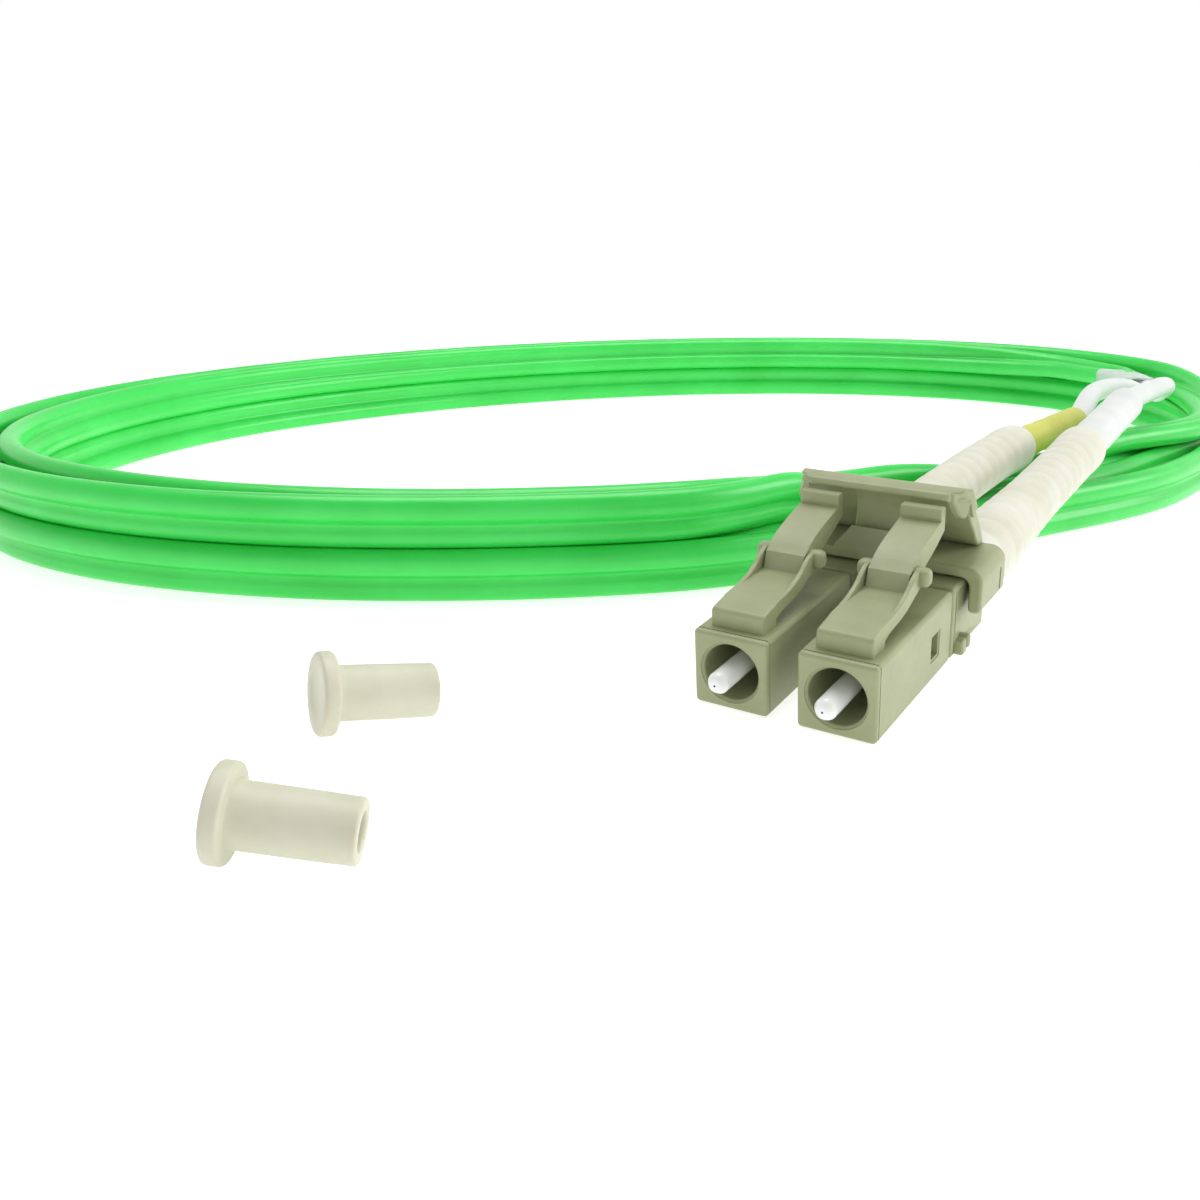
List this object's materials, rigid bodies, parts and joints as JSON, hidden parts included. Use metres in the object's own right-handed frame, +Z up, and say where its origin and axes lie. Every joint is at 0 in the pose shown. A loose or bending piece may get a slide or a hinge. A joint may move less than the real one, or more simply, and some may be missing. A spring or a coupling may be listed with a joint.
{
  "type": "fibre optic patch cord",
  "caption": "Duplex LC fibre optic patch cord with a coiled lime-green zip cord, sprung ferrules, latch levers under a trigger, boots and dust caps.",
  "frame": {"origin": "on the plane that everything lies on, under the middle of the near connector and the two loose dust caps", "axes": "Z up; Y from the near connector back across the coil; X to the right as seen from the near connector"},
  "size_m": [0.1836, 0.1747, 0.0113],
  "materials": {
    "beige_plastic": "fine satin moulded plastic, grey-beige",
    "white_rubber": "soft matt off-white",
    "ivory_plastic": "soft moulded plastic, ivory",
    "zirconia": "polished white ceramic",
    "plated_brass": "nickel-plated, satin",
    "spring_steel": "drawn spring wire",
    "lime_jacket": "smooth satin cable jacket, lime green",
    "white_jacket": "smooth cable jacket, white",
    "yellow_marker": "thin marker sleeve, yellow",
    "clear_shrink": "clear heat-shrink tubing",
    "natural_buffer": "tight fibre buffer"
  },
  "bodies": {
    "cord_and_shells": {"cord_coil": "lime_jacket", "cord_tail": "lime_jacket", "split_shrink_near": "clear_shrink", "duplex_clip_near": "beige_plastic", "front_housing_near_left": "beige_plastic", "rear_body_near_left": "beige_plastic", "ferrule_spring_near_left": "spring_steel", "crimp_sleeve_near_left": "plated_brass", "boot_near_left": "white_rubber", "marker_sleeve_near_left": "yellow_marker", "cord_leg_near_left": "white_jacket", "front_housing_near_right": "beige_plastic", "rear_body_near_right": "beige_plastic", "ferrule_spring_near_right": "spring_steel", "crimp_sleeve_near_right": "plated_brass", "boot_near_right": "white_rubber", "marker_sleeve_near_right": "white_jacket", "cord_leg_near_right": "white_jacket", "split_shrink_far": "clear_shrink", "duplex_clip_far": "beige_plastic", "front_housing_far_left": "beige_plastic", "rear_body_far_left": "beige_plastic", "ferrule_spring_far_left": "spring_steel", "crimp_sleeve_far_left": "plated_brass", "boot_far_left": "white_rubber", "marker_sleeve_far_left": "yellow_marker", "cord_leg_far_left": "white_jacket", "front_housing_far_right": "beige_plastic", "rear_body_far_right": "beige_plastic", "ferrule_spring_far_right": "spring_steel", "crimp_sleeve_far_right": "plated_brass", "boot_far_right": "white_rubber", "marker_sleeve_far_right": "white_jacket", "cord_leg_far_right": "white_jacket"},
    "trigger_near": {"trigger_near": "beige_plastic"},
    "latch_near_left": {"latch_lever_near_left": "beige_plastic"},
    "ferrule_near_left": {"ferrule_near_left": "zirconia", "ferrule_flange_near_left": "plated_brass", "fibre_buffer_near_left": "natural_buffer"},
    "latch_near_right": {"latch_lever_near_right": "beige_plastic"},
    "ferrule_near_right": {"ferrule_near_right": "zirconia", "ferrule_flange_near_right": "plated_brass", "fibre_buffer_near_right": "natural_buffer"},
    "trigger_far": {"trigger_far": "beige_plastic"},
    "latch_far_left": {"latch_lever_far_left": "beige_plastic"},
    "ferrule_far_left": {"ferrule_far_left": "zirconia", "ferrule_flange_far_left": "plated_brass", "fibre_buffer_far_left": "natural_buffer"},
    "dust_cap_far_left": {"dust_cap_far_left": "ivory_plastic"},
    "latch_far_right": {"latch_lever_far_right": "beige_plastic"},
    "ferrule_far_right": {"ferrule_far_right": "zirconia", "ferrule_flange_far_right": "plated_brass", "fibre_buffer_far_right": "natural_buffer"},
    "dust_cap_far_right": {"dust_cap_far_right": "ivory_plastic"},
    "loose_cap_rear": {"dust_cap_loose_rear": "ivory_plastic"},
    "loose_cap_front": {"dust_cap_loose_front": "ivory_plastic"}
  },
  "joints": [
    {"name": "trigger_press_near", "type": "hinge", "parent": "cord_and_shells", "child": "trigger_near", "pos_m": [0.00649, -0.00021, 0.00734], "axis": [0.8271, -0.5621, 0], "range_deg": [0, 14], "stiffness_Nm_per_rad": 0.02},
    {"name": "latch_bend_near_left", "type": "hinge", "parent": "cord_and_shells", "child": "latch_near_left", "pos_m": [-0.004, -0.01009, 0.00537], "axis": [-0.8271, 0.5621, 0], "range_deg": [0, 6.6]},
    {"name": "ferrule_float_near_left", "type": "slide", "parent": "cord_and_shells", "child": "ferrule_near_left", "axis": [0.559, 0.8226, 0.1038], "range_m": [0, 0.0005], "stiffness_N_per_m": 800},
    {"name": "latch_bend_near_right", "type": "hinge", "parent": "cord_and_shells", "child": "latch_near_right", "pos_m": [0.00117, -0.01361, 0.00537], "axis": [-0.8271, 0.5621, 0], "range_deg": [0, 6.6]},
    {"name": "ferrule_float_near_right", "type": "slide", "parent": "cord_and_shells", "child": "ferrule_near_right", "axis": [0.559, 0.8226, 0.1038], "range_m": [0, 0.0005], "stiffness_N_per_m": 800},
    {"name": "trigger_press_far", "type": "hinge", "parent": "cord_and_shells", "child": "trigger_far", "pos_m": [0.09925, 0.12519, 0.0056], "axis": [-0.8771, 0.4802, 0], "range_deg": [0, 14], "stiffness_Nm_per_rad": 0.02},
    {"name": "latch_bend_far_left", "type": "hinge", "parent": "cord_and_shells", "child": "latch_far_left", "pos_m": [0.10881, 0.13615, 0.0051], "axis": [0.8771, -0.4802, 0], "range_deg": [0, 6.6]},
    {"name": "ferrule_float_far_left", "type": "slide", "parent": "cord_and_shells", "child": "ferrule_far_left", "axis": [-0.4802, -0.8771, 0], "range_m": [0, 0.0005], "stiffness_N_per_m": 800},
    {"name": "cap_pull_far_left", "type": "slide", "parent": "cord_and_shells", "child": "dust_cap_far_left", "axis": [0.4802, 0.8771, 0], "range_m": [0, 0.008]},
    {"name": "latch_bend_far_right", "type": "hinge", "parent": "cord_and_shells", "child": "latch_far_right", "pos_m": [0.10333, 0.13915, 0.0051], "axis": [0.8771, -0.4802, 0], "range_deg": [0, 6.6]},
    {"name": "ferrule_float_far_right", "type": "slide", "parent": "cord_and_shells", "child": "ferrule_far_right", "axis": [-0.4802, -0.8771, 0], "range_m": [0, 0.0005], "stiffness_N_per_m": 800},
    {"name": "cap_pull_far_right", "type": "slide", "parent": "cord_and_shells", "child": "dust_cap_far_right", "axis": [0.4802, 0.8771, 0], "range_m": [0, 0.008]},
    {"name": "loose_cap_lift_rear", "type": "slide", "parent": "cord_and_shells", "child": "loose_cap_rear", "axis": [0, 0, 1], "range_m": [0, 0.012]},
    {"name": "loose_cap_lift_front", "type": "slide", "parent": "cord_and_shells", "child": "loose_cap_front", "axis": [0, 0, 1], "range_m": [0, 0.012]}
  ],
  "couplings": [
    {"joint": "latch_bend_near_left", "follows": "trigger_press_near", "ratio": 0.47},
    {"joint": "latch_bend_near_right", "follows": "trigger_press_near", "ratio": 0.47},
    {"joint": "latch_bend_far_left", "follows": "trigger_press_far", "ratio": 0.47},
    {"joint": "latch_bend_far_right", "follows": "trigger_press_far", "ratio": 0.47}
  ]
}
